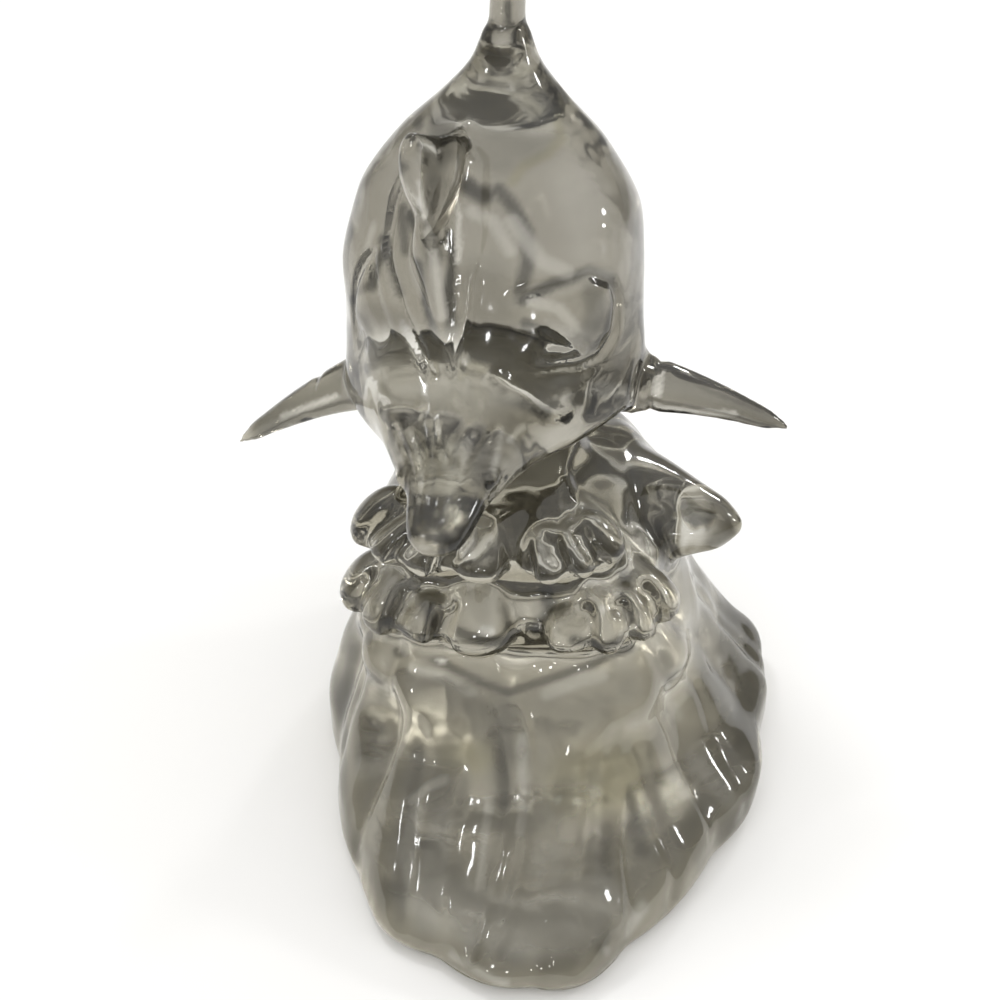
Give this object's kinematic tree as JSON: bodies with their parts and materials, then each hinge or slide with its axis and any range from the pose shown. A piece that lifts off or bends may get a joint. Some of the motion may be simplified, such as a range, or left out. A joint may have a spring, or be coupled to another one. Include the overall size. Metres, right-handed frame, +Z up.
{
  "type": "dolphin figurine",
  "caption": "Clear crystal figurine of a dolphin with raised tail and spread fins riding the crest of a tiered wave, standing on the wave's flat underside.",
  "frame": {"origin": "under the middle of the figure's bounding box, on the plane of the flat underside", "axes": "+Z up, the dolphin's beak towards -Y, the wave's side crest towards +X"},
  "size_m": [0.0942, 0.1046, 0.1714],
  "materials": {
    "clear_crystal": "polished clear lead crystal, slightly warm grey where it is thick"
  },
  "bodies": {
    "root": {"crystal_dolphin": "clear_crystal"}
  },
  "joints": []
}
